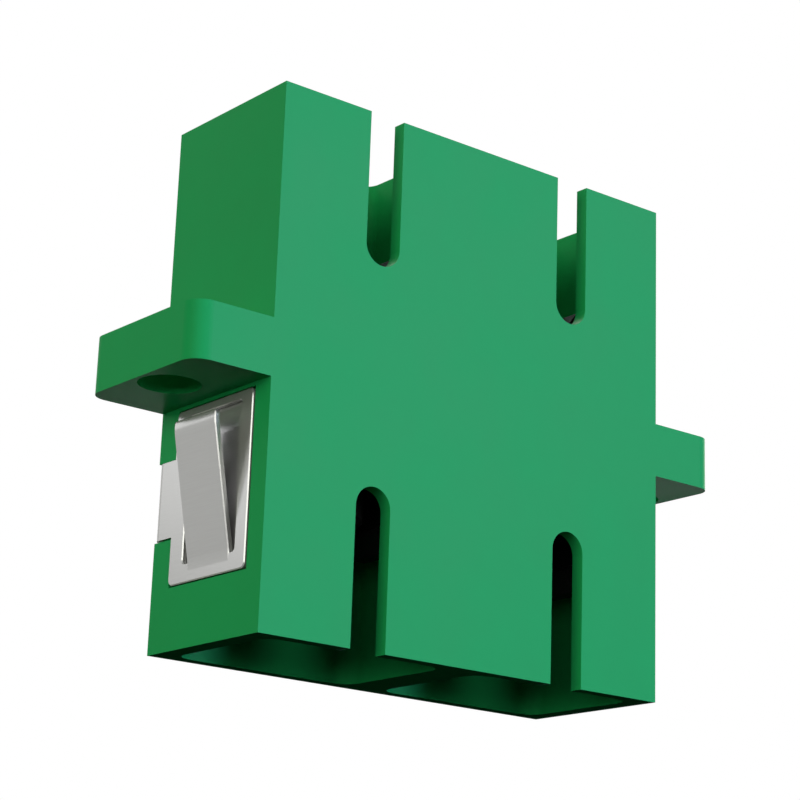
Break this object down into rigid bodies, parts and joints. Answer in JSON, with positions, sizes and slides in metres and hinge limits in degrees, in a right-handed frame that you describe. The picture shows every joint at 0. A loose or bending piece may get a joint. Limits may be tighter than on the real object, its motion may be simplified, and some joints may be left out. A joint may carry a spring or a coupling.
{
  "type": "sc fibre adapter",
  "caption": "Flanged fibre adapter for a panel: keyed ports side by side at each end, latch hooks and split sleeves inside, and a bent steel spring clip round the body.",
  "frame": {"origin": "on the lower port rim, below the middle of the body", "axes": "+Z along the optical axes, +X across the two ports, -Y towards the face with the keyways"},
  "size_m": [0.0342, 0.0092, 0.0272],
  "materials": {
    "green_plastic": "moulded, low gloss",
    "spring_steel": "rolled stainless strip, satin",
    "black_plastic": "moulded, matt",
    "zirconia": "ground"
  },
  "bodies": {
    "root": {"housing": "green_plastic", "spring_clip": "spring_steel", "latch_insert_upper_left": "black_plastic", "latch_insert_upper_right": "black_plastic", "latch_insert_lower_left": "black_plastic", "latch_insert_lower_right": "black_plastic", "split_sleeve_left": "zirconia", "split_sleeve_right": "zirconia"}
  },
  "joints": []
}
